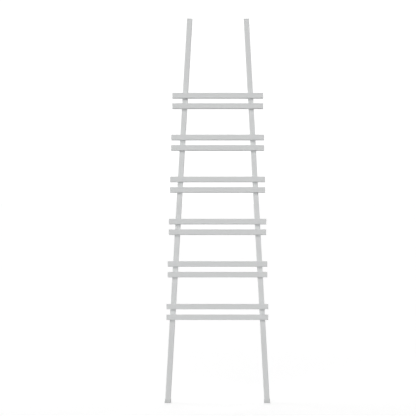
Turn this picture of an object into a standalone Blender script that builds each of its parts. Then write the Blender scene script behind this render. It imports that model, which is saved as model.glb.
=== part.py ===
"""A ladder rack for quilts, which leans on a wall.

Two square-tube rails stand further apart at the floor than at the top, and six pairs of square-tube
bars cross their fronts. Each bar is held at each rail by one screw, driven from behind. Plugs close
the rails' tops, caps shoe their feet, and two wedge-shaped pads keep the metal off the wall.

Metres, +Z up, the wall at +Y and the room at -Y. The origin is on the floor, at the outline's middle.
"""

import math

import bmesh
import bpy

# The whole frame. "Up the slope" is a distance from the floor, measured along the leaning frame.
FRAME_HEIGHT = 1.826  # up the slope, floor to the rails' tops
LEAN = math.radians(6.0)  # the frame, back from the vertical
FOOT_SPREAD = 0.465  # between the rails' centre lines, at the floor
TOP_SPREAD = 0.271  # between the rails' centre lines, at their tops
SPLAY = math.atan((FOOT_SPREAD - TOP_SPREAD) / 2 / FRAME_HEIGHT)  # of each rail
GAP = 0.0003  # between two pieces that touch

# The tube that the rails and the bars are cut from.
TUBE_SIDE = 0.025
TUBE_WALL = 0.0015
TUBE_CORNER = 0.002  # outer corner radius
BORE_SIDE = TUBE_SIDE - 2 * TUBE_WALL
BORE_CORNER = 0.0008

# The bars, in pairs. Pair 1 is the top one.
PAIR_COUNT = 6
PAIR_PITCH = 0.200  # up the slope, from one pair to the next
BAR_PITCH = 0.050  # up the slope, between the two bars of a pair
LOWEST_BAR = 0.400  # up the slope, floor to the lowest bar's centre line
TOP_BAR_LENGTH = 0.431
BAR_STEP = 0.0093  # each pair is this much longer than the one above it
END_PLATE = 0.0015  # the plate that closes each end
END_BEVEL = 0.0008
BUSH_RADIUS = 0.0042  # the drawn and tapped collar inside a bar's back wall
BUSH_LENGTH = 0.0035

# The button-head screws.
SHANK_RADIUS = 0.0025
SHANK_END = 0.008  # how far a screw reaches in past the bar's back face
HEAD_RADIUS = 0.00475
HEAD_HEIGHT = 0.00275
HEAD_RIM = 0.0006  # the straight part of the head's side
HEAD_FLAT_RADIUS = 0.0023
SOCKET_FLATS = 0.003
SOCKET_DEPTH = 0.0016
TIP_CHAMFER = 0.0005
HOLE_RADIUS = SHANK_RADIUS + GAP

# The plugs in the rails' tops.
PLUG_HEAD = 0.003
PLUG_BEVEL = 0.0008
PLUG_NECK = 0.016
PLUG_WALL = 0.002

# The foot caps, which are cut level at their tops and at their soles.
FOOT_SIDE = 0.029
FOOT_CORNER = 0.0035
FOOT_HEIGHT = 0.016
FOOT_SOLE = 0.004
FOOT_BEVEL = 0.001

# The wall pads, each a wedge between its rail's sloping back and the upright wall.
PAD_WIDTH = 0.020
PAD_HEIGHT = 0.036
PAD_CORNER = 0.005
PAD_CENTRE = 1.780  # up the slope
PAD_REACH = 0.0035  # how far the pad's face stands past the rail's top back edge
PAD_BEVEL = 0.0015
PAD_STEM_RADIUS = 0.0035
PAD_STEM_LENGTH = 0.005

CORNER_STEPS = 2  # straight steps in each rounded corner
ROUND_STEPS = 12  # sides of a screw or a hole

SIDES = {"left": -1, "right": 1}
X, Y, Z = range(3)

POWDER_COAT = ("light grey powder coat", (0.78, 0.80, 0.80), 0.68, 0.0)
SCREW_STEEL = ("zinc-plated steel", (0.60, 0.61, 0.63), 0.33, 1.0)
PLUG_PLASTIC = ("light grey plastic", (0.75, 0.76, 0.76), 0.60, 0.0)
FOOT_RUBBER = ("light grey rubber", (0.72, 0.73, 0.73), 0.75, 0.0)
PAD_RUBBER = ("pale grey rubber", (0.70, 0.72, 0.72), 0.78, 0.0)


def clear_scene():
    for leftover in list(bpy.data.objects):
        bpy.data.objects.remove(leftover)


def material(name, colour, roughness, metallic):
    """The material of that name, made the first time it is asked for."""
    found = bpy.data.materials.get(name)
    if found:
        return found
    made = bpy.data.materials.new(name)
    made.use_nodes = True
    shader = made.node_tree.nodes["Principled BSDF"]
    shader.inputs["Base Color"].default_value = (*colour, 1.0)
    shader.inputs["Roughness"].default_value = roughness
    shader.inputs["Metallic"].default_value = metallic
    return made


def empty(name, parent, location, rotation):
    """A frame of reference that other objects are placed in."""
    made = bpy.data.objects.new(name, None)
    bpy.context.scene.collection.objects.link(made)
    made.parent = parent
    made.location = location
    made.rotation_euler = rotation
    bpy.context.view_layer.update()
    return made


def rounded_rectangle(width, height, radius):
    """An outline as (across, along) pairs about the origin: four corner arcs and straight sides."""
    points = []
    for corner in range(4):
        across = (width / 2 - radius) * (1 if corner in (0, 3) else -1)
        along = (height / 2 - radius) * (1 if corner in (0, 1) else -1)
        for step in range(CORNER_STEPS + 1):
            angle = (corner + step / CORNER_STEPS) * math.pi / 2
            points.append((across + radius * math.cos(angle), along + radius * math.sin(angle)))
    return points


def rounded_square(side, radius):
    return rounded_rectangle(side, side, radius)


def circle(radius):
    """A circle as (across, along) pairs, with a corner at angle 0."""
    turns = [2 * math.pi * step / ROUND_STEPS for step in range(ROUND_STEPS)]
    return [(radius * math.cos(turn), radius * math.sin(turn)) for turn in turns]


def hexagon(across_flats):
    """A hexagon with as many points as a circle, those between its corners lying on its sides."""
    points = []
    for step in range(ROUND_STEPS):
        turn = 2 * math.pi * step / ROUND_STEPS
        from_flat = turn % (math.pi / 3) - math.pi / 6
        reach = across_flats / 2 / math.cos(from_flat)
        points.append((reach * math.cos(turn), reach * math.sin(turn)))
    return points


def add_loft(shape, rings, joined=False):
    """Adds a surface through rings of points, with its end rings capped or joined to each other."""
    loops = [[shape.verts.new(point) for point in ring] for ring in rings]
    followers = loops[1:] + loops[:1] if joined else loops[1:]
    for near, far in zip(loops, followers):
        for here in range(len(near)):
            beyond = (here + 1) % len(near)
            shape.faces.new((near[here], near[beyond], far[beyond], far[here]))
    if not joined:
        shape.faces.new(loops[0][::-1])
        shape.faces.new(loops[-1])


def new_object(name, shape, parent, location=(0, 0, 0), finish=None):
    """An object from a bmesh, with its faces outwards. Without a finish it is a hidden helper."""
    bmesh.ops.recalc_face_normals(shape, faces=shape.faces)
    mesh = bpy.data.meshes.new(name)
    shape.to_mesh(mesh)
    shape.free()
    made = bpy.data.objects.new(name, mesh)
    bpy.context.scene.collection.objects.link(made)
    made.parent = parent
    made.location = location
    if finish:
        mesh.shade_smooth()
        mesh.set_sharp_from_angle(angle=math.radians(50))
        mesh.materials.append(material(*finish))
    else:
        made.hide_render = True
        made.display_type = "WIRE"
    return made


def lofted(name, rings, parent, location=(0, 0, 0), finish=None, joined=False):
    shape = bmesh.new()
    add_loft(shape, rings, joined)
    return new_object(name, shape, parent, location, finish)


def combine(piece, operation, other):
    """Cuts another object's shape from the piece, or adds it, with a live modifier."""
    modifier = piece.modifiers.new(f"{operation.lower()} {other.name}", "BOOLEAN")
    modifier.operation = operation
    modifier.solver = "EXACT"
    modifier.object = other


def cylinders(name, places, radius, start, end, parent):
    """Hidden round bars from front to back, from start to end, at places up and across their frame."""
    shape = bmesh.new()
    for across, up in places:
        rings = []
        for depth in (start, end):
            rings.append([(across + a, depth, up + b) for a, b in circle(radius)])
        add_loft(shape, rings)
    return new_object(name, shape, parent)


def level_ring(outline, frame, height):
    """An outline slid along the rail's axis until each point is at that height above the floor."""
    up = frame.matrix_world[Z]
    return [(a, b, (height - up[X] * a - up[Y] * b - up[3]) / up[Z]) for a, b in outline]


def square_ring(outline, distance):
    """An outline across the rail's axis, at that distance along it."""
    return [(a, b, distance) for a, b in outline]


def bar_heights():
    """Yields each bar's pair number, its place in the pair and its height up the slope."""
    for pair in range(1, PAIR_COUNT + 1):
        lower = LOWEST_BAR + (PAIR_COUNT - pair) * PAIR_PITCH
        yield pair, "upper", lower + BAR_PITCH
        yield pair, "lower", lower


def rail_across(height):
    """From the frame's middle line to a rail's centre line, at that height up the slope."""
    return FOOT_SPREAD / 2 - height * math.tan(SPLAY)


def make_rail(side, frame):
    """A square tube, cut level above the sole of its foot cap and square under its plug."""
    length = FRAME_HEIGHT / math.cos(SPLAY)
    outer = rounded_square(TUBE_SIDE, TUBE_CORNER)
    inner = rounded_square(BORE_SIDE, BORE_CORNER)
    foot = FOOT_SOLE + GAP
    top = length - PLUG_HEAD - GAP
    rings = [
        level_ring(outer, frame, foot),
        square_ring(outer, top),
        square_ring(inner, top),
        level_ring(inner, frame, foot),
    ]
    rail = lofted(f"rail_{side}", rings, frame, finish=POWDER_COAT, joined=True)
    screws = [(0, height / math.cos(SPLAY)) for _, _, height in bar_heights()]
    through = cylinders(f"screw_holes_{side}", screws, HOLE_RADIUS, -TUBE_SIDE, TUBE_SIDE, frame)
    combine(rail, "DIFFERENCE", through)
    stem = [(0, PAD_CENTRE / math.cos(SPLAY))]
    pad_hole = cylinders(f"pad_hole_{side}", stem, PAD_STEM_RADIUS + GAP, 0, TUBE_SIDE, frame)
    combine(rail, "DIFFERENCE", pad_hole)


def make_plug(side, frame):
    """A moulded plug: a flat head as wide as the tube, and a hollow square neck that fits inside it."""
    top = FRAME_HEIGHT / math.cos(SPLAY)
    shoulder = top - PLUG_HEAD
    outer = rounded_square(TUBE_SIDE, TUBE_CORNER)
    crown = rounded_square(TUBE_SIDE - 2 * PLUG_BEVEL, TUBE_CORNER - PLUG_BEVEL)
    neck = rounded_square(BORE_SIDE - 2 * GAP, BORE_CORNER)
    hollow = rounded_square(BORE_SIDE - 2 * GAP - 2 * PLUG_WALL, BORE_CORNER)
    rings = [
        square_ring(hollow, shoulder),
        square_ring(hollow, shoulder - PLUG_NECK),
        square_ring(neck, shoulder - PLUG_NECK),
        square_ring(neck, shoulder),
        square_ring(outer, shoulder),
        square_ring(outer, top - PLUG_BEVEL),
        square_ring(crown, top),
    ]
    lofted(f"top_plug_{side}", rings, frame, finish=PLUG_PLASTIC)


def make_foot(side, frame):
    """A cap round the rail's foot, level at its rim and sole, with its walls along the rail."""
    pocket = rounded_square(TUBE_SIDE + 2 * GAP, TUBE_CORNER)
    outer = rounded_square(FOOT_SIDE, FOOT_CORNER)
    drawn_in = rounded_square(FOOT_SIDE - 2 * FOOT_BEVEL, FOOT_CORNER - FOOT_BEVEL)
    rings = [
        level_ring(pocket, frame, FOOT_SOLE),
        level_ring(pocket, frame, FOOT_HEIGHT),
        level_ring(drawn_in, frame, FOOT_HEIGHT),
        level_ring(outer, frame, FOOT_HEIGHT - FOOT_BEVEL),
        level_ring(outer, frame, FOOT_BEVEL),
        level_ring(drawn_in, frame, 0),
    ]
    lofted(f"foot_cap_{side}", rings, frame, finish=FOOT_RUBBER)


def make_pad(side, frame, wall):
    """A wedge from the rail's back to an upright face, with a stem that pushes into the rail."""
    back = frame.matrix_world[Y]
    centre = PAD_CENTRE / math.cos(SPLAY)
    base = TUBE_SIDE / 2 + GAP
    outline = rounded_rectangle(PAD_WIDTH, PAD_HEIGHT, PAD_CORNER)
    inset = 2 * PAD_BEVEL
    drawn_in = rounded_rectangle(PAD_WIDTH - inset, PAD_HEIGHT - inset, PAD_CORNER - PAD_BEVEL)

    def upright_ring(points, place):
        """The outline slid out from the rail until every point of it is at that distance back."""
        rows = [(a, b + centre) for a, b in points]
        return [(a, (place - back[X] * a - back[Z] * b - back[3]) / back[Y], b) for a, b in rows]

    rings = [
        [(a, base, b + centre) for a, b in outline],
        upright_ring(outline, wall - PAD_BEVEL),
        upright_ring(drawn_in, wall),
    ]
    pad = lofted(f"wall_pad_{side}", rings, frame, finish=PAD_RUBBER)
    stem_start = base - PAD_STEM_LENGTH
    stem = cylinders(
        f"pad_stem_{side}", [(0, centre)], PAD_STEM_RADIUS, stem_start, base + PAD_BEVEL, frame
    )
    combine(pad, "UNION", stem)


def make_bar(name, length, height, slope):
    """A square tube closed by a plate at each end, with two tapped collars inside its back wall."""
    place = (0, -GAP - TUBE_SIDE / 2, height)
    outer = rounded_square(TUBE_SIDE, TUBE_CORNER)
    drawn_in = rounded_square(TUBE_SIDE - 2 * END_BEVEL, TUBE_CORNER - END_BEVEL)
    bore = rounded_square(BORE_SIDE, BORE_CORNER)
    reach = length / 2
    stations = [
        (-reach, drawn_in),
        (END_BEVEL - reach, outer),
        (reach - END_BEVEL, outer),
        (reach, drawn_in),
    ]
    rings = [[(across, a, b) for a, b in outline] for across, outline in stations]
    bar = lofted(name, rings, slope, place, POWDER_COAT)
    inside = reach - END_PLATE
    hollow = [[(across, a, b) for a, b in bore] for across in (-inside, inside)]
    combine(bar, "DIFFERENCE", lofted(f"{name}_hollow", hollow, slope, place))
    across = rail_across(height)
    places = [(-across, height), (across, height)]
    bush_start = -GAP - TUBE_WALL - BUSH_LENGTH
    bushes = cylinders(f"{name}_bushes", places, BUSH_RADIUS, bush_start, -GAP - TUBE_WALL / 2, slope)
    combine(bar, "UNION", bushes)
    holes = cylinders(f"{name}_holes", places, HOLE_RADIUS, bush_start - TUBE_WALL, TUBE_WALL, slope)
    combine(bar, "DIFFERENCE", holes)


def make_screw(name, across, height, slope):
    """A button-head screw along the front-to-back axis, with its head on the rail's back face."""
    seat = TUBE_SIDE + GAP
    crown = seat + HEAD_HEIGHT
    profile = [
        (crown - SOCKET_DEPTH, hexagon(SOCKET_FLATS)),
        (crown, hexagon(SOCKET_FLATS)),
        (crown, circle(HEAD_FLAT_RADIUS)),
        (seat + (HEAD_RIM + HEAD_HEIGHT) / 2, circle((HEAD_FLAT_RADIUS + 2 * HEAD_RADIUS) / 3)),
        (seat + HEAD_RIM, circle(HEAD_RADIUS)),
        (seat, circle(HEAD_RADIUS)),
        (seat, circle(SHANK_RADIUS)),
        (TIP_CHAMFER - SHANK_END, circle(SHANK_RADIUS)),
        (-SHANK_END, circle(SHANK_RADIUS - TIP_CHAMFER)),
    ]
    rings = [[(a, depth, b) for a, b in outline] for depth, outline in profile]
    lofted(name, rings, slope, (across, 0, height), SCREW_STEEL)


def build():
    clear_scene()
    foot_front = (TUBE_SIDE - FOOT_SIDE) / 2
    front = (foot_front + FOOT_BEVEL * math.sin(LEAN)) / math.cos(LEAN)
    wall = TUBE_SIDE * math.cos(LEAN) + FRAME_HEIGHT * math.sin(LEAN) + PAD_REACH
    middle = (front + wall) / 2
    slope = empty("slope", None, (0, -middle, 0), (-LEAN, 0, 0))
    for side, sign in SIDES.items():
        foot = (sign * FOOT_SPREAD / 2, TUBE_SIDE / 2, 0)
        frame = empty(f"rail_line_{side}", slope, foot, (0, -sign * SPLAY, 0))
        make_rail(side, frame)
        make_plug(side, frame)
        make_foot(side, frame)
        make_pad(side, frame, wall - middle)
    for pair, place, height in bar_heights():
        length = TOP_BAR_LENGTH + (pair - 1) * BAR_STEP
        make_bar(f"bar_{pair}_{place}", length, height, slope)
        for side, sign in SIDES.items():
            make_screw(f"screw_{pair}_{place}_{side}", sign * rail_across(height), height, slope)


build()
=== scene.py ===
# %% [markdown]
# # A quilt ladder rack, finished for close looks
#
# The rack is a leaning frame: two square-tube rails, twelve square-tube bars in six pairs across their
# fronts, twenty-four button-head screws from behind, two top plugs, two foot caps and two wall pads.
# The packed solids settle every place and size, and this script works with the same driving sizes. It
# makes a finer skin for each solid, with the small radii, weld rings, moulded faces and coatings that a
# plain solid leaves out, and prints how far each skin's box is from its solid's.
#
# Each piece is a surface worked out with numpy, as rings of points that are joined into faces. Each
# finish is a tree of nodes that reads the piece's own coordinates, so nothing slides when it is moved.

# %% Load the packed frame
import math

import bpy
import numpy as np
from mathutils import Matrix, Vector


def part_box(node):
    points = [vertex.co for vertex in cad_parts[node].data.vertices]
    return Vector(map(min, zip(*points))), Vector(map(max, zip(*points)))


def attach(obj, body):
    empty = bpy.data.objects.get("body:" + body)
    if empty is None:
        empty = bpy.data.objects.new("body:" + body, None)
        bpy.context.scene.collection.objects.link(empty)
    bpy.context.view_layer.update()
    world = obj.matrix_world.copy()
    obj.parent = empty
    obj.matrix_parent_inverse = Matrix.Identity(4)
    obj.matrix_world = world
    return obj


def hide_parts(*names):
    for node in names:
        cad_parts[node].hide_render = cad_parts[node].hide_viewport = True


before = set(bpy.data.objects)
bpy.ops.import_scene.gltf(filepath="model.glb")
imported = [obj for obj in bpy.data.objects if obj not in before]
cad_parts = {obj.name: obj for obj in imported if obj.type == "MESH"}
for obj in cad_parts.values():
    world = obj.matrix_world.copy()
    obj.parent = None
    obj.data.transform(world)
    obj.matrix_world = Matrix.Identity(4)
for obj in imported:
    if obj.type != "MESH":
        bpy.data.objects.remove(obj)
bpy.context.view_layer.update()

# %% [markdown]
# ## Sizes
#
# All lengths are in metres. A distance "up the slope" starts at the floor and runs along the leaning
# frame. Pieces that touch on the real rack stand 0.3 mm apart here, so that no two surfaces share a
# plane and flicker.

# %% The whole frame's sizes
FRAME_HEIGHT = 1.826  # up the slope, floor to the rails' tops
LEAN = math.radians(6.0)
FOOT_SPREAD = 0.465  # between the rails' centre lines, at the floor
TOP_SPREAD = 0.271  # between them at the tops
SPLAY = math.atan((FOOT_SPREAD - TOP_SPREAD) / 2 / FRAME_HEIGHT)
GAP = 0.0003
TUBE_SIDE = 0.025
TUBE_WALL = 0.0015
TUBE_CORNER = 0.002
SIDES = {"left": -1, "right": 1}
RAIL_LENGTH = FRAME_HEIGHT / math.cos(SPLAY)
print(f"each rail is {RAIL_LENGTH:.4f} m long and splays {math.degrees(SPLAY):.2f} degrees")

# %% [markdown]
# ## Leaning and splayed frames of reference
#
# The bars and screws are square to the leaning plane, and each rail is turned again inside that plane.
# Empties could hold these turns, but a finished piece has to sit at the origin with its place in its
# mesh. So a frame of reference here is only a turn and an origin, and calling it moves points out to
# the room's axes.


# %% Frames of reference
def about_x(angle):
    """The matrix that turns points about X by that angle."""
    across, along = math.cos(angle), math.sin(angle)
    return np.array([[1, 0, 0], [0, across, -along], [0, along, across]])


def about_y(angle):
    """The matrix that turns points about Y by that angle."""
    across, along = math.cos(angle), math.sin(angle)
    return np.array([[across, 0, along], [0, 1, 0], [-along, 0, across]])


class Frame:
    """A turn and then a shift: room = turn x point + origin."""

    def __init__(self, turn, origin):
        self.turn = turn
        self.origin = np.asarray(origin, float)

    def __call__(self, points):
        return np.asarray(points, float) @ self.turn.T + self.origin

    def inside(self, turn, origin):
        """A frame that is placed in this one."""
        return Frame(self.turn @ turn, self(origin))

    def level(self, outline, height):
        """An outline slid along this frame's Z until each point is at that height in the room."""
        across, along = outline.T
        rise = height - self.origin[2] - self.turn[2, 0] * across - self.turn[2, 1] * along
        return np.column_stack([across, along, rise / self.turn[2, 2]])


wall_face = max(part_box(f"wall_pad_{side}")[1].y for side in SIDES)
PAD_REACH = 0.0035  # how far the pads stand past the rails' top back edges
rail_top_back = TUBE_SIDE * math.cos(LEAN) + FRAME_HEIGHT * math.sin(LEAN)
SLOPE = Frame(about_x(-LEAN), (0, wall_face - PAD_REACH - rail_top_back, 0))
RAILS = {
    side: SLOPE.inside(about_y(-sign * SPLAY), (sign * FOOT_SPREAD / 2, TUBE_SIDE / 2, 0))
    for side, sign in SIDES.items()
}
print("the slope starts at", SLOPE.origin.round(5).tolist(), "and the wall is at", round(wall_face, 5))

# %% [markdown]
# ## From rings of points to a piece
#
# Nearly every piece here is an outline carried along a path: a tube, a screw, a moulded cap. That makes
# one helper enough. It takes an array of rings, joins each to the next with four-sided faces, and
# either closes both ends or joins the last ring to the first, as on a tube with a hollow middle.
# The sign of the enclosed volume says whether the faces point outwards, so no shape can come out
# inside out. Sharp edges are marked by angle, and every outer edge has a small radius of its own.


# %% Rings into closed surfaces
SHARP_ANGLE = math.radians(38)  # between two faces, past which their edge is sharp


def ring_faces(count, size, joined):
    """Corner numbers of the faces between rings: (i, j), (i, j+1), (i+1, j+1), (i+1, j), with wraps."""
    corners = np.arange(count * size).reshape(count, size)
    if joined:
        corners = np.vstack([corners, corners[:1]])
    beyond = np.roll(corners, -1, axis=1)
    quads = np.stack([corners[:-1], beyond[:-1], beyond[1:], corners[1:]], axis=-1).reshape(-1, 4)
    ends = [] if joined else [corners[0, ::-1], corners[-1]]
    return quads, ends


def enclosed(points, faces):
    """Six times the volume: the sum over faces, cut into fans, of each triangle's triple product."""
    total = 0.0
    for size in {len(face) for face in faces}:
        grid = points[np.array([face for face in faces if len(face) == size])]
        for corner in range(1, size - 1):
            total += np.einsum("ij,ij->", grid[:, 0], np.cross(grid[:, corner], grid[:, corner + 1]))
    return total


def surface(name, rings, finish, joined=False, marks=None):
    """A piece from rings (rings, points, 3) in room axes, with its marks as attributes on the points."""
    rings = np.asarray(rings, float)
    count, size, _ = rings.shape
    points = rings.reshape(-1, 3)
    quads, ends = ring_faces(count, size, joined)
    faces = quads.tolist() + [end.tolist() for end in ends]
    if enclosed(points, faces) < 0:
        faces = [face[::-1] for face in faces]
    mesh = bpy.data.meshes.new(name)
    mesh.from_pydata(points.tolist(), [], faces)
    for mark, values in (marks or {}).items():
        layer = mesh.attributes.new(mark, "FLOAT", "POINT")
        layer.data.foreach_set("value", np.broadcast_to(values, (count, size)).astype(np.float32).ravel())
    mesh.shade_smooth()
    mesh.set_sharp_from_angle(angle=SHARP_ANGLE)
    mesh.materials.append(finish)
    piece = bpy.data.objects.new(name, mesh)
    bpy.context.scene.collection.objects.link(piece)
    return piece


unit_square = np.array([[0, 0, 0], [1, 0, 0], [1, 1, 0], [0, 1, 0]])
unit_quads, unit_ends = ring_faces(2, len(unit_square), joined=False)
unit_cube = np.vstack([unit_square, unit_square + [0, 0, 1]])
print("a unit cube's volume, from its faces:", enclosed(unit_cube, unit_quads.tolist() + unit_ends) / 6)

# %% [markdown]
# ## Outlines
#
# Square tube has rounded corners, and light catches on them. An outline is worked out once, as points
# going round. Each corner is an arc, and one more point stands on the flat just past each end of the
# arc: it keeps the shading of the wide flat face flat, instead of bending towards the corner.
# A second function says how far round its corner each point is, which the finishes use for edges.

# %% Rounded outlines
CORNER_STEPS = 6
FLAT_SUPPORT = 0.0004  # from the end of a corner's arc to the point that holds the flat


def rounded(width, height, radius):
    """Points (across, along) round a rectangle. Corner k has its arc's centre at the rectangle's corner
    less the radius both ways, and the arc runs over the angles from k to k + 1 quarter turns."""
    turns = np.linspace(0, math.pi / 2, CORNER_STEPS + 1)
    arc = radius * np.column_stack([np.cos(turns), np.sin(turns)])
    before, after = arc[0] - [0, FLAT_SUPPORT], arc[-1] - [FLAT_SUPPORT, 0]
    corner = np.vstack([before, arc, after])
    quarter = np.array([[0, -1], [1, 0]])
    signs = [(1, 1), (-1, 1), (-1, -1), (1, -1)]
    points = []
    for k, sign in enumerate(signs):
        centre = np.array([width / 2 - radius, height / 2 - radius]) * sign
        points.append(corner @ np.linalg.matrix_power(quarter, k).T + centre)
    return np.vstack(points)


def square(side, radius):
    """The same round a square."""
    return rounded(side, side, radius)


def cornering():
    """For each point of an outline: sin(2 x its angle round the arc), so 0 on flats and 1 mid-corner."""
    turns = np.linspace(0, math.pi / 2, CORNER_STEPS + 1)
    return np.tile(np.concatenate([[0], np.sin(2 * turns), [0]]), 4)


def round_from(outline, radius):
    """A circle with its points at the same angles as an outline's: radius x point / its length."""
    return radius * outline / np.linalg.norm(outline, axis=1, keepdims=True)


def fillet(radius, steps=5):
    """A quarter-round edge as (inset, rise) pairs, from the wall (0, 0) to the face (radius, radius):
    inset = radius (1 - cos t), rise = radius sin t."""
    turns = np.linspace(0, math.pi / 2, steps + 1)
    return np.column_stack([radius * (1 - np.cos(turns)), radius * np.sin(turns)])


print("points in each outline:", len(square(TUBE_SIDE, TUBE_CORNER)))

# %% [markdown]
# ## Shader sums
#
# A finish needs sums such as "0.5 plus a tenth of this noise". In the node editor each one is a Math
# node, and twenty of those hide the idea. Here a small class wraps a socket, and writing the sum in
# Python adds the nodes. Everything else is one method that takes a node's type, its settings and what
# goes into its sockets.

# %% A socket that can be added and multiplied


class Value:
    """An output socket. Sums with it add Math nodes to its finish."""

    def __init__(self, finish, socket):
        self.finish = finish
        self.socket = socket

    def math(self, operation, first, second):
        return self.finish.node("ShaderNodeMath", {"operation": operation}, {0: first, 1: second})

    def __add__(self, other):
        return self.math("ADD", self, other)

    def __radd__(self, other):
        return self.math("ADD", other, self)

    def __sub__(self, other):
        return self.math("SUBTRACT", self, other)

    def __rsub__(self, other):
        return self.math("SUBTRACT", other, self)

    def __mul__(self, other):
        return self.math("MULTIPLY", self, other)

    def __rmul__(self, other):
        return self.math("MULTIPLY", other, self)

    def sine(self):
        return self.math("SINE", self, 0.0)

    def between(self, low, high):
        """0 at low and under, 1 at high and over, and a smooth rise between them."""
        settings = {"interpolation_type": "SMOOTHSTEP"}
        return self.finish.node(
            "ShaderNodeMapRange", settings, {"Value": self, "From Min": low, "From Max": high}
        )


SUMS = ("__add__", "__radd__", "__sub__", "__rsub__", "__mul__", "__rmul__")
print("a socket can stand on either side of a sum:", all(hasattr(Value, name) for name in SUMS))

# %% [markdown]
# ## A finish and its nodes
#
# A finish is a material with one shader, and everything that varies is worked out before it. The
# class below keeps the material's tree at hand, so that a finish reads as a short list: where, which
# noises, which sums, and which sockets they feed.


# %% A finish and its nodes
class Finish:
    """A material, and the calls that build its nodes."""

    def __init__(self, name):
        self.material = bpy.data.materials.new(name)
        self.material.use_nodes = True
        self.tree = self.material.node_tree
        self.shader = self.tree.nodes["Principled BSDF"]

    def connect(self, socket, given):
        if isinstance(given, Value):
            self.tree.links.new(given.socket, socket)
        else:
            socket.default_value = given

    def node(self, kind, settings=None, inputs=None, output=0):
        """Adds one node and returns one of its outputs. Settings go first, as they decide its sockets."""
        made = self.tree.nodes.new(kind)
        for key, setting in (settings or {}).items():
            setattr(made, key, setting)
        for key, given in (inputs or {}).items():
            self.connect(made.inputs[key], given)
        return Value(self, made.outputs[output])

    def coordinates(self):
        return self.node("ShaderNodeTexCoord", output="Object")

    def noise(self, where, size, detail=2.0, stretch=(1.0, 1.0, 1.0)):
        """Cloudy values about 0.5, whose lumps are about that size in metres."""
        place = self.node("ShaderNodeMapping", inputs={"Vector": where, "Scale": stretch})
        inputs = {"Vector": place, "Scale": 1 / size, "Detail": detail}
        return self.node("ShaderNodeTexNoise", inputs=inputs)

    def mark(self, name):
        """A number that the mesh keeps on its points."""
        return self.node("ShaderNodeAttribute", {"attribute_name": name}, output="Fac")

    def blend(self, mask, first, second):
        """The first colour, which is a socket's, where the mask is 0, and the second where it is 1."""
        both = {0: mask, 6: first, 7: (*second, 1.0)}
        return self.node("ShaderNodeMix", {"data_type": "RGBA"}, both, output=2)

    def tint(self, colour, shift):
        """A colour made lighter by the shift, as a share of itself: colour x (1 + shift)."""
        share = 1 + shift
        settings = {"operation": "MULTIPLY"}
        return self.node("ShaderNodeVectorMath", settings, {0: colour, 1: share})

    def bump(self, height, depth, below=None):
        """A normal bent by a height from 0 to 1 that stands for that depth in metres."""
        inputs = {"Height": height, "Distance": depth, "Strength": 1.0}
        if below:
            inputs["Normal"] = below
        return self.node("ShaderNodeBump", inputs=inputs)

    def finished(self, **sockets):
        """Sets the shader's sockets, by name with underscores for spaces, and returns the material."""
        for name, given in sockets.items():
            self.connect(self.shader.inputs[name.replace("_", " ")], given)
        return self.material


print("a finish is built with:", [name for name in vars(Finish) if not name.startswith("_")])

# %% [markdown]
# ## Powder coat
#
# The tubes are steel under a light grey powder coat: dry plastic powder held on by charge, then baked
# until it flows. It never flows quite flat, and leaves a skin of low bumps a millimetre or so across
# that is called orange peel, with a finer grain in it. The coat pulls back a little from tight edges,
# so the rounded corners are a touch smoother, and a painted highlight makes them a touch lighter. The
# colour drifts by about one part in a hundred.
# One noise for each of those scales is enough, and each stays as faint as on the real coat.

# %% The powder coat
COAT_COLOUR = (0.789, 0.800, 0.799)
COAT_ROUGHNESS = 0.68
DRIFT_SIZE = 0.16
GRAIN_SIZE = 0.0006
PEEL_SIZE = 0.0016
PEEL_DEPTH = 0.00007
FINE_SIZE = 0.00035
FINE_DEPTH = 0.00001


def powder_coat():
    """Colour = the coat's x (1 + drift + grain + corner), where the corner's share is a painted highlight
    on the rounded edges, and the fine bumps ride on the peel's.
    """
    finish = Finish("light grey powder coat")
    where = finish.coordinates()
    corner = finish.mark("corner")
    drift = finish.noise(where, DRIFT_SIZE, detail=3.0)
    grain = finish.noise(where, GRAIN_SIZE, detail=1.0)
    peel = finish.noise(where, PEEL_SIZE, detail=1.5)
    fine = finish.noise(where, FINE_SIZE, detail=1.0)
    # The corner's share of the tone is a painted highlight that lightens the rounded edges; its share of
    # the roughness is the smoother coat there.
    tone = (drift - 0.5) * 0.035 + (grain - 0.5) * 0.030 + corner * 0.012
    rough = COAT_ROUGHNESS + (drift - 0.5) * 0.10 + (grain - 0.5) * 0.08 - corner * 0.06
    return finish.finished(
        Base_Color=finish.tint(COAT_COLOUR, tone),
        Roughness=rough,
        Normal=finish.bump(fine, FINE_DEPTH, below=finish.bump(peel, PEEL_DEPTH)),
        IOR=1.5,
        Specular_IOR_Level=0.2,
    )


COAT = powder_coat()
print("made", COAT.name)

# %% [markdown]
# ## Where the bars are
#
# The holes, the bars and the screws all need the bars' places, so they are worked out once. The bars
# are evenly spaced up the slope in pairs, and the rails come closer together as they rise.

# %% Where the bars are
PAIR_COUNT = 6
PAIR_PITCH = 0.200
BAR_PITCH = 0.050
LOWEST_BAR = 0.400  # up the slope
BARS = [(pair, place) for pair in range(1, PAIR_COUNT + 1) for place in ("upper", "lower")]


def up_slope(pair, place):
    """A bar's height up the slope, and how far from the middle the rails' centre lines are there."""
    height = LOWEST_BAR + PAIR_PITCH * (PAIR_COUNT - pair) + (BAR_PITCH if place == "upper" else 0)
    return height, FOOT_SPREAD / 2 - height * math.tan(SPLAY)


print("the bars' heights up the slope:", [round(up_slope(*bar)[0], 3) for bar in BARS])

# %% [markdown]
# ## Drilled holes
#
# Each bar is held at each rail by an M5 screw from behind, so a rail has twelve holes right through it,
# and one more in its back for its wall pad, and a bar has two in its back. Cutting them into the rings
# would bend every face near by. A Boolean does what the drill does: each hole is a round cutter, and all
# of a piece's cutters are taken away at once. The result is kept as the mesh, and its sharp edges are
# marked again by angle.

# %% Drilled holes
SHANK_RADIUS = 0.0025
PAD_CENTRE = 1.780  # up the slope
STEM_RADIUS = 0.0035  # of a wall pad's stem
HOLE_POINTS = 32
PAST_FACE = 0.0015  # how far a bit's end stands out of the face that it drills


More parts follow.
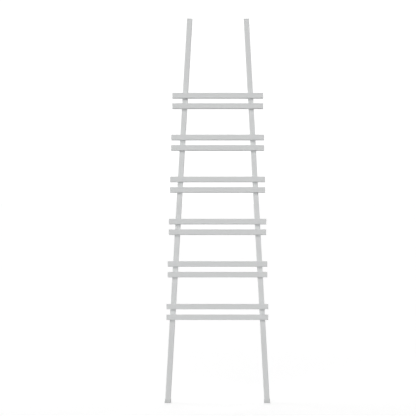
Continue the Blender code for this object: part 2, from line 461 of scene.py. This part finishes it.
def drill_bit(here, middle, start, end, radius=SHANK_RADIUS + GAP):
    """A cylinder from front to back: (across + r cos t, start or end, up + r sin t)."""
    turns = np.linspace(0, 2 * np.pi, HOLE_POINTS, endpoint=False)
    rings = np.empty((2, HOLE_POINTS, 3))
    rings[..., 0] = middle[0] + radius * np.cos(turns)
    rings[..., 1] = [[start], [end]]
    rings[..., 2] = middle[1] + radius * np.sin(turns)
    return surface("drill_bit", here(rings), COAT)


def drilled(piece, bits):
    """Cuts the bits out of a piece, keeps the result as its mesh and clears the bits away."""
    for bit in bits:
        cut = piece.modifiers.new("hole", "BOOLEAN")
        cut.operation = "DIFFERENCE"
        cut.solver = "EXACT"
        cut.object = bit
    whole = bpy.data.meshes.new_from_object(piece.evaluated_get(bpy.context.evaluated_depsgraph_get()))
    piece.modifiers.clear()
    piece.data = whole
    whole.set_sharp_from_angle(angle=SHARP_ANGLE)
    for bit in bits:
        bpy.data.meshes.remove(bit.data)


for use, radius in (("screw", SHANK_RADIUS), ("pad", STEM_RADIUS)):
    print(f"a {use}'s hole is {2000 * (radius + GAP):.1f} mm across")

# %% [markdown]
# ## Each piece and its solid
#
# A finished skin rides on the frame's body and stands for its solid, which is then hidden. Both boxes
# are compared, because a skin may not change a size.


# %% Each piece and its solid
def belongs(piece, node):
    """Ties a finished piece to the solid it stands for, and prints how far their boxes differ."""
    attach(piece, "root")
    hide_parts(node)
    points = np.array([vertex.co for vertex in piece.data.vertices])
    skin_box = np.array([points.min(axis=0), points.max(axis=0)])
    apart = np.abs(skin_box - np.array(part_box(node))).max()
    print(f"{piece.name}: {len(piece.data.polygons)} faces, box within {apart * 1000:.2f} mm of its solid")


# %% [markdown]
# ## The rails
#
# Each rail is one length of 25 mm square tube, cut square under its plug and level inside its foot cap.
# A cube could be stretched to this, but its corners would be razors. Here the tube's outline is carried
# up the rail and back down its bore, so that the wall has its real thickness at both cut ends.
# Then it is drilled.

# %% The rails
BORE_SIDE = TUBE_SIDE - 2 * TUBE_WALL
BORE_CORNER = 0.0008
FOOT_SOLE = 0.004
PLUG_HEAD = 0.003
RAIL_STATIONS = 37
FIRST_STATION = 0.03  # up the rail, clear of its level cut


def carried(outline, distances):
    """An outline repeated along Z: ring i is (across, along, distance i)."""
    rings = np.empty((len(distances), len(outline), 3))
    rings[..., :2] = outline
    rings[..., 2] = np.asarray(distances)[:, None]
    return rings


def rail(side):
    """Outer rings from foot to top, then bore rings from top to foot, joined end to end."""
    here = RAILS[side]
    places = np.linspace(FIRST_STATION, RAIL_LENGTH - PLUG_HEAD - GAP, RAIL_STATIONS)
    outer, bore = square(TUBE_SIDE, TUBE_CORNER), square(BORE_SIDE, BORE_CORNER)
    cut = FOOT_SOLE + GAP
    rings = np.concatenate([
        here.level(outer, cut)[None],
        carried(outer, places),
        carried(bore, places[::-1]),
        here.level(bore, cut)[None],
    ])
    piece = surface(f"{side}_rail_tube", here(rings), COAT, joined=True, marks={"corner": cornering()})
    middles = [(0, up_slope(*bar)[0] / math.cos(SPLAY)) for bar in BARS]
    bits = [drill_bit(here, middle, -TUBE_SIDE, TUBE_SIDE) for middle in middles]
    bits.append(drill_bit(here, (0, PAD_CENTRE / math.cos(SPLAY)), 0, TUBE_SIDE, STEM_RADIUS + GAP))
    drilled(piece, bits)
    belongs(piece, f"rail_{side}")


for side in SIDES:
    rail(side)

# %% [markdown]
# ## The bars
#
# A bar is a length of the same tube with a steel plate welded over each end and ground flush. The
# grinding rounds the end's edges, and leaves a shallow ring in the coat where the weld sank. The
# outline is carried along the bar through those steps: a flat end, a quarter-round edge, the plate, the
# ring, and the long straight run. The corner mark is copied along, so the coat knows its edges.
# The plates close the bar, so nobody sees inside it and it is left solid here. Its back is drilled for
# the two screws that hold it.

# %% The bars
TOP_BAR_LENGTH = 0.431
BAR_STEP = 0.0093  # each pair is this much longer than the one above
END_RADIUS = 0.0008
WELD_PLACE = 0.0022  # from the end to the middle of the weld ring
WELD_WIDTH = 0.0012
WELD_DEPTH = 0.00008
RUN_STATIONS = 25
HOLE_DEPTH = 0.0095  # measured from the rails' fronts


def half_bar(length):
    """(inset, distance from the middle) pairs from the end's face inwards. The weld ring is a cosine dip:
    inset = depth x (1 + cos(2 pi s)) / 2, for s from -1/2 to 1/2 across its width."""
    reach = length / 2
    edge = fillet(END_RADIUS)[::-1]
    face = [[END_RADIUS + FLAT_SUPPORT, reach]]
    rounding = np.column_stack([edge[:, 0], reach - END_RADIUS + edge[:, 1]])
    across = np.linspace(-0.5, 0.5, 9)
    dip = WELD_DEPTH * (1 + np.cos(2 * np.pi * across)) / 2
    ring = np.column_stack([dip, reach - WELD_PLACE - WELD_WIDTH * across])
    run = np.linspace(reach - 2 * WELD_PLACE, 0, RUN_STATIONS)
    return np.vstack([face, rounding, ring, np.column_stack([np.zeros_like(run), run])])


def bar(pair, place):
    """A ring for each station, as the tube's outline drawn in by the station's inset."""
    height, across_rail = up_slope(pair, place)
    half = half_bar(TOP_BAR_LENGTH + BAR_STEP * (pair - 1))
    stations = np.vstack([half * [1, -1], half[-2::-1]])
    rings = []
    for inset, across in stations:
        outline = square(TUBE_SIDE - 2 * inset, TUBE_CORNER - min(inset, END_RADIUS))
        rings.append(np.column_stack([np.full(len(outline), across), outline]))
    rings = np.array(rings) + [0, -GAP - TUBE_SIDE / 2, height]
    name = f"bar_{pair}_{place}"
    piece = surface(f"{name}_tube", SLOPE(rings), COAT, marks={"corner": cornering()})
    middles = [(sign * across_rail, height) for sign in SIDES.values()]
    drilled(piece, [drill_bit(SLOPE, middle, -HOLE_DEPTH, PAST_FACE) for middle in middles])
    belongs(piece, name)


for pair, place in BARS:
    bar(pair, place)

# %% [markdown]
# ## Zinc-plated steel
#
# The screws are turned steel with a bright zinc plate. A lathe leaves rings round the axis, so the
# finish needs each point's distance from it. That isn't in the room's coordinates, because every screw
# has its own axis, so the mesh keeps it as a mark called "turned", in millimetres.

# %% The screws' finish
ZINC_COLOUR = (0.60, 0.61, 0.63)
TURNING = 42.0  # radians of a ring's wave for each millimetre, so a ring is 0.15 mm wide
RING_DEPTH = 0.000004


def zinc_plate():
    """The lathe's rings are sin(turning x distance from the axis + cloud): the cloud makes them waver."""
    finish = Finish("zinc-plated steel")
    where = finish.coordinates()
    turned = finish.mark("turned")
    cloud = finish.noise(where, 0.0015, detail=3.0)
    rings = (turned * TURNING + cloud * 3.0).sine()
    tone = (cloud - 0.5) * 0.16
    return finish.finished(
        Base_Color=finish.tint(ZINC_COLOUR, tone),
        Metallic=1.0,
        Roughness=0.33 + (cloud - 0.5) * 0.25 + rings * 0.03,
        Normal=finish.bump(rings, RING_DEPTH),
    )


ZINC = zinc_plate()
print("made", ZINC.name)

# %% [markdown]
# ## The screws
#
# An M5 button-head screw is a low dome over a plain shank, with a hexagon socket for a 3 mm key. Spun
# from a profile alone it would have a round hole. Instead each ring is a circle that may be pressed
# towards a hexagon: the reach at an angle is the flats' half width over the cosine of the angle from
# the nearest flat's middle. The socket ends in the small cone that a drill leaves.

# %% The screws
SCREW_POINTS = 48
HEAD_RADIUS = 0.00475
HEAD_HEIGHT = 0.00275
HEAD_RIM = 0.0006
CROWN_RADIUS = 0.0023
SHANK_END = 0.008
TIP_CHAMFER = 0.0005
KEY_FLATS = 0.003
SOCKET_DEPTH = 0.0016
SOCKET_LEAD = 0.0002  # the chamfer round the socket's mouth
CONE_DEPTH = 0.0005
CONE_TIP = 0.00008
EASE = 0.0001  # the step that eases an edge


def ring_of(radius, hexagon=0.0):
    """Points at equal angles whose reach goes from a circle's to a hexagon's as the second value
    goes from 0 to 1. The hexagon's own size is the radius times 2 across its flats."""
    turns = np.linspace(0, 2 * np.pi, SCREW_POINTS, endpoint=False)
    from_flat = turns % (np.pi / 3) - np.pi / 6
    reach = radius * (1 - hexagon + hexagon / np.cos(from_flat))
    return np.column_stack([reach * np.cos(turns), reach * np.sin(turns)])


def dome(steps=9):
    """The head's outside from rim to crown, a quarter ellipse: radius = crown + (rim - crown) cos t,
    height = rim height + (full height - rim height) sin t."""
    turns = np.linspace(0, np.pi / 2, steps)
    radius = CROWN_RADIUS + (HEAD_RADIUS - CROWN_RADIUS) * np.cos(turns)
    height = HEAD_RIM + (HEAD_HEIGHT - HEAD_RIM) * np.sin(turns)
    return list(zip(height, radius, np.zeros(steps)))


def screw_profile():
    """(depth from the rail's back face, radius, hexagon share) of each ring, from socket to tip."""
    crown = HEAD_HEIGHT
    floor = crown - SOCKET_DEPTH
    mouth = KEY_FLATS / 2
    socket = [
        (floor - CONE_DEPTH, CONE_TIP, 0.0),
        (floor, mouth * 0.9, 0.0),
        (floor, mouth * 0.98, 1.0),
        (floor + EASE, mouth, 1.0),
        (crown - SOCKET_LEAD, mouth, 1.0),
        (crown, mouth + SOCKET_LEAD, 0.6),
        (crown, CROWN_RADIUS - 2 * EASE, 0.0),
    ]
    rim = [(EASE, HEAD_RADIUS, 0.0), (0.0, HEAD_RADIUS - EASE, 0.0), (0.0, SHANK_RADIUS + 2 * EASE, 0.0)]
    under = -(TUBE_SIDE + GAP)
    shank = [
        (-2 * EASE, SHANK_RADIUS, 0.0),
        (under - SHANK_END + TIP_CHAMFER, SHANK_RADIUS, 0.0),
        (under - SHANK_END, SHANK_RADIUS - TIP_CHAMFER, 0.0),
    ]
    return socket + dome()[::-1] + rim + shank


def screw(pair, place, side):
    """The profile's rings along the frame's front-to-back axis, on the rail's back."""
    height, across_rail = up_slope(pair, place)
    across = SIDES[side] * across_rail
    profile = screw_profile()
    outlines = np.array([ring_of(radius, share) for _, radius, share in profile])
    rings = np.empty((len(profile), SCREW_POINTS, 3))
    rings[..., 0] = outlines[..., 0] + across
    rings[..., 1] = TUBE_SIDE + GAP + np.array([depth for depth, _, _ in profile])[:, None]
    rings[..., 2] = outlines[..., 1] + height
    turned = 1000 * np.linalg.norm(outlines, axis=-1)
    name = f"screw_{pair}_{place}_{side}"
    piece = surface(f"{name}_button_head", SLOPE(rings), ZINC, marks={"turned": turned})
    belongs(piece, name)


for pair, place in BARS:
    for side in SIDES:
        screw(pair, place, side)

# %% [markdown]
# ## Moulded plastic and rubber
#
# The plugs, caps and pads come out of steel moulds whose faces were spark-eroded, which prints a fine
# matt grain on them. Rubber has the same grain but duller. The feet are darker and rougher in patches
# over their lowest few millimetres. Three finishes share one recipe, and differ in colour, grain and
# roughness.

# %% The moulded finishes
# Low on the feet the colour is drawn towards this darker grey, at most by this share, at the very bottom.
DARK_LOW_COLOUR = (0.58, 0.57, 0.55)
DARK_LOW_SHARE = 0.4  # where it lies thickest


def moulded(name, colour, rough, grain_size, grain_depth, dark_below=0.0):
    """Spark grain at one size, a slow drift in tone, and, where a height is given, a darker colour in
    patches that fades out by that height.
    """
    finish = Finish(name)
    where = finish.coordinates()
    grain = finish.noise(where, grain_size, detail=2.0)
    drift = finish.noise(where, 0.012, detail=2.0)
    tone = (drift - 0.5) * 0.06 + (grain - 0.5) * 0.05
    tinted = finish.tint(colour, tone)
    roughness = rough + (grain - 0.5) * 0.12
    if dark_below:
        height = finish.node("ShaderNodeSeparateXYZ", inputs={0: where}, output="Z")
        # Below the given height the colour turns darker and rougher in patches, most at the very bottom.
        darkened = (1 - height.between(0.0, dark_below)) * drift.between(0.35, 0.65) * DARK_LOW_SHARE
        tinted = finish.blend(darkened, tinted, DARK_LOW_COLOUR)
        roughness = roughness + darkened * 0.15
    return finish.finished(
        Base_Color=tinted,
        Roughness=roughness,
        Normal=finish.bump(grain, grain_depth),
        Specular_IOR_Level=0.3,
    )


PLASTIC = moulded("light grey plastic", (0.749, 0.760, 0.759), 0.60, 0.0005, 0.000012)
FOOT_RUBBER = moulded("light grey rubber", (0.719, 0.730, 0.729), 0.75, 0.0004, 0.00002, dark_below=0.006)
PAD_RUBBER = moulded("pale grey rubber", (0.704, 0.715, 0.714), 0.78, 0.0006, 0.00003)
print("made", PLASTIC.name, "and", FOOT_RUBBER.name, "and", PAD_RUBBER.name)

# %% [markdown]
# ## The top plugs
#
# A plug is moulded as a square head the size of the tube over a hollow neck that grips the bore. The
# head is a shade crowned, so that it doesn't look dished, and its edge has a quarter-round. Its rings
# go down inside the neck, up its outside, out under the head, and over the head's edge to its middle.

# %% The top plugs
PLUG_EDGE = 0.0008
PLUG_CROWN = 0.00025
PLUG_NECK = 0.016
PLUG_WALL = 0.002
CROWN_SHARES = (0.97, 0.85, 0.6, 0.3, 0.05)  # of the head's half width, for the rings of its top


def shrunk(outline, share):
    """An outline drawn towards its middle."""
    return outline * share


def crowned(outline, top, share):
    """A ring of the head's top: the height falls from the middle by crown x share squared."""
    return np.column_stack([shrunk(outline, share), np.full(len(outline), top - PLUG_CROWN * share**2)])


def plug(side):
    """Rings square to the rail: (across, along, distance up it), which fall off to the head's edges."""
    shoulder = RAIL_LENGTH - PLUG_HEAD
    neck = BORE_SIDE - 2 * GAP
    hollow = square(neck - 2 * PLUG_WALL, BORE_CORNER)
    grip = square(neck, BORE_CORNER)
    outer = square(TUBE_SIDE, TUBE_CORNER)
    tip = shoulder - PLUG_NECK
    rings = [carried(hollow, [shoulder, tip]), carried(grip, [tip, shoulder]), carried(outer, [shoulder])]
    edge_top = RAIL_LENGTH - PLUG_CROWN
    for inset, rise in fillet(PLUG_EDGE):
        drawn = square(TUBE_SIDE - 2 * inset, TUBE_CORNER - inset)
        rings.append(carried(drawn, [edge_top - PLUG_EDGE + rise]))
    top = square(TUBE_SIDE - 2 * PLUG_EDGE, TUBE_CORNER - PLUG_EDGE)
    rings += [crowned(top, RAIL_LENGTH, share)[None] for share in CROWN_SHARES]
    piece = surface(f"{side}_top_plug", RAILS[side](np.concatenate(rings)), PLASTIC)
    belongs(piece, f"top_plug_{side}")


for side in SIDES:
    plug(side)

# %% [markdown]
# ## The foot caps
#
# The rails lean and splay, but the caps' soles and rims are level with the floor, so no ring is square
# to the rail. Each outline is slid along the rail until all of it is at one height. The walls have a
# quarter-round at rim and sole, and the sole has square treads, which stop the foot from sliding.

# %% The foot caps
FOOT_SIDE = 0.029
FOOT_CORNER = 0.0035
FOOT_HEIGHT = 0.016
FOOT_EDGE = 0.001
TREAD_DEPTH = 0.0008
TREADS = (0.55, 0.65, 0.75, 0.85)  # shares of the sole's half width, where a groove starts or ends
TREAD_MIDDLE = 0.2  # the share of the sole's last ring
MOUTH_LEAD = 0.00025  # the chamfer round the pocket's mouth


def foot(side):
    """Level rings: up inside the pocket, over the rim, down the walls, and in across the treads."""
    here = RAILS[side]
    pocket_side = TUBE_SIDE + 2 * GAP
    pocket = square(pocket_side, TUBE_CORNER)
    rings = [here.level(pocket, FOOT_SOLE), here.level(pocket, FOOT_HEIGHT - MOUTH_LEAD)]
    rings.append(here.level(square(pocket_side + 2 * MOUTH_LEAD, TUBE_CORNER), FOOT_HEIGHT))
    rim = [(inset, FOOT_HEIGHT - FOOT_EDGE + rise) for inset, rise in fillet(FOOT_EDGE)[::-1]]
    sole = [(inset, FOOT_EDGE - rise) for inset, rise in fillet(FOOT_EDGE)]
    for inset, height in rim + sole:
        rings.append(here.level(square(FOOT_SIDE - 2 * inset, FOOT_CORNER - inset), height))
    bottom = square(FOOT_SIDE - 2 * FOOT_EDGE, FOOT_CORNER - FOOT_EDGE)
    for number, share in enumerate(reversed(TREADS)):
        heights = (0, TREAD_DEPTH) if number % 2 == 0 else (TREAD_DEPTH, 0)
        rings += [here.level(shrunk(bottom, share), height) for height in heights]
    rings.append(here.level(shrunk(bottom, TREAD_MIDDLE), 0))
    piece = surface(f"{side}_foot_cap", here(np.array(rings)), FOOT_RUBBER)
    belongs(piece, f"foot_cap_{side}")


for side in SIDES:
    foot(side)

# %% [markdown]
# ## The wall pads
#
# A pad is a small rubber wedge: one face lies on the rail's sloping back, and the other stands upright
# against the wall. A stem pushes into a hole in the rail. The rings start at the stem's tip, spread from
# a circle to the pad's rounded rectangle, and end on the upright face, which is slid to the wall.

# %% The wall pads
PAD_WIDTH = 0.020
PAD_HEIGHT = 0.036
PAD_CORNER = 0.005
PAD_EDGE = 0.0015
STEM_LENGTH = 0.005
FACE_SHARES = (0.92, 0.4)  # of the upright face's half width, for its rings


def upright(here, outline, place):
    """Points of an outline on the rail's back, slid out until each is at that depth in the room."""
    across, up = outline.T
    reach = place - here.origin[1] - here.turn[1, 0] * across - here.turn[1, 2] * up
    return np.column_stack([across, reach / here.turn[1, 1], up])


def pad(side):
    """Rings (across, depth, up the rail): the first are flat on its back, the last upright at the wall."""
    here = RAILS[side]
    base = TUBE_SIDE / 2 + GAP
    middle = np.array([0, PAD_CENTRE / math.cos(SPLAY)])
    outline = rounded(PAD_WIDTH, PAD_HEIGHT, PAD_CORNER)

    def flat(points, depth):
        return np.column_stack([points[:, 0], np.full(len(points), depth), points[:, 1]])

    stem = round_from(outline, STEM_RADIUS) + middle
    rings = [flat(stem, base - STEM_LENGTH), flat(stem, base), flat(outline + middle, base)]
    for inset, rise in fillet(PAD_EDGE):
        drawn = rounded(PAD_WIDTH - 2 * inset, PAD_HEIGHT - 2 * inset, PAD_CORNER - inset)
        rings.append(upright(here, drawn + middle, wall_face - PAD_EDGE + rise))
    face = rounded(PAD_WIDTH - 2 * PAD_EDGE, PAD_HEIGHT - 2 * PAD_EDGE, PAD_CORNER - PAD_EDGE)
    rings += [upright(here, shrunk(face, share) + middle, wall_face) for share in FACE_SHARES]
    piece = surface(f"{side}_wall_pad", here(np.array(rings)), PAD_RUBBER)
    belongs(piece, f"wall_pad_{side}")


for side in SIDES:
    pad(side)

# %% [markdown]
# ## The floor and the light
#
# A plain pale floor runs far behind the rack. A studio's floor is lit until it looks white, but so much
# light bouncing up would flatten the rack. So the floor is mid grey to the light that bounces, and a
# faint glow that only the camera sees lifts it to white, with a trace of shadow left round the feet.
# The lamps are suns with a wide spread, as soft as studio boxes and the same strength everywhere. The
# key comes low from the front and gives the fronts their tone. One lamp on each side and one from
# behind light the tops, and the light that the tops throw back fills the gap inside each pair. The
# left gets more than the right, which is what shapes the tubes.

# %% The floor
FLOOR_REACH = 60.0
FLOOR_GREY = (0.50, 0.50, 0.50, 1.0)
FLOOR_GLOW = 0.59
floor_mesh = bpy.data.meshes.new("studio_floor")
corners = [(x * FLOOR_REACH, y * FLOOR_REACH, 0) for x, y in ((-1, -1), (1, -1), (1, 1), (-1, 1))]
floor_mesh.from_pydata(corners, [], [(0, 1, 2, 3)])
pale = Finish("pale studio floor")
seen_straight = pale.node("ShaderNodeLightPath", output="Is Camera Ray")
floor_mesh.materials.append(
    pale.finished(
        Base_Color=FLOOR_GREY,
        Roughness=1.0,
        Specular_IOR_Level=0.0,
        Emission_Color=seen_straight,
        Emission_Strength=FLOOR_GLOW,
    )
)
floor = bpy.data.objects.new("studio_floor", floor_mesh)
bpy.context.scene.collection.objects.link(floor)
print("the floor reaches", FLOOR_REACH, "m each way")

# %% The lamps
LAMPS = {  # degrees round to the left, degrees up, strength, spread in degrees
    "key": (10, 18, 0.625, 50),
    "left": (110, 32, 0.46, 45),
    "back": (175, 38, 0.40, 50),
    "right": (-112, 32, 0.29, 45),
}


def from_side(round_left, up):
    """A direction: degrees round to the left from straight in front, and degrees up."""
    round_left, up = math.radians(round_left), math.radians(up)
    level = math.cos(up)
    return (-math.sin(round_left) * level, -math.cos(round_left) * level, math.sin(up))


def lamp(name, towards, strength, spread):
    """A sun lamp that shines from a direction. The strength is what a white face square to it would
    show, so it is multiplied by pi, and the spread is the width of the light in degrees."""
    data = bpy.data.lights.new(name, "SUN")
    data.energy = strength * math.pi
    data.angle = math.radians(spread)
    lit = bpy.data.objects.new(name, data)
    lit.rotation_euler = Vector(towards).to_track_quat("Z", "Y").to_euler()
    bpy.context.scene.collection.objects.link(lit)


for name, (round_left, up, strength, spread) in LAMPS.items():
    lamp(name, from_side(round_left, up), strength, spread)
print("lamps:", list(LAMPS))

# %% [markdown]
# ## The surroundings
#
# The background is white to the camera alone. The Light Path node tells a camera's ray from one that
# has bounced: the first sees the white, and the second sees a background of no strength, so all the
# rack's light comes from the lamps and the floor.

# %% The surroundings
WHITE_SEEN = 1.1  # a little over white, so that it can't turn grey
surroundings = bpy.data.worlds.new("studio")
surroundings.use_nodes = True
bpy.context.scene.world = surroundings
nodes, links = surroundings.node_tree.nodes, surroundings.node_tree.links
dark = nodes["Background"]
dark.inputs["Strength"].default_value = 0.0
white = nodes.new("ShaderNodeBackground")
white.inputs["Color"].default_value = (1.0, 1.0, 1.0, 1.0)
white.inputs["Strength"].default_value = WHITE_SEEN
seen = nodes.new("ShaderNodeLightPath")
either = nodes.new("ShaderNodeMixShader")
links.new(seen.outputs["Is Camera Ray"], either.inputs["Fac"])
links.new(dark.outputs["Background"], either.inputs[1])
links.new(white.outputs["Background"], either.inputs[2])
links.new(either.outputs["Shader"], nodes["World Output"].inputs["Surface"])
bpy.context.scene.view_settings.view_transform = "Standard"
print("made the white surround that only the camera sees")

# %% [markdown]
# ## The camera
#
# The rack is seen square from the front, from a little over a metre up and nearly seven metres away,
# through a long lens that keeps its lines straight. The camera stands 13 cm right of the middle, looks
# down by one degree and doesn't turn to the side: its lens is shifted instead, which keeps every bar
# parallel to the picture's edge.

# %% The camera
SENSOR_WIDTH = 36.0  # in millimetres, as is the lens
LENS = 123.75
LENS_SHIFT = -0.0889
CAMERA_RIGHT = 0.1292
CAMERA_DISTANCE = 6.6688  # to the slope's start at the floor
CAMERA_HEIGHT = 1.0358
LOOK_DOWN = 1.06  # in degrees
FAR_CLIP = 200.0
camera_data = bpy.data.cameras.new("front_view")
camera_data.sensor_width = SENSOR_WIDTH
camera_data.lens = LENS
camera_data.shift_x = LENS_SHIFT
camera_data.clip_end = FAR_CLIP
camera = bpy.data.objects.new("front_view", camera_data)
camera.location = (CAMERA_RIGHT, SLOPE.origin[1] - CAMERA_DISTANCE, CAMERA_HEIGHT)
camera.rotation_euler = (math.radians(90 - LOOK_DOWN), 0, 0)
bpy.context.scene.collection.objects.link(camera)
bpy.context.scene.camera = camera
print("the camera is at", [round(place, 4) for place in camera.location])
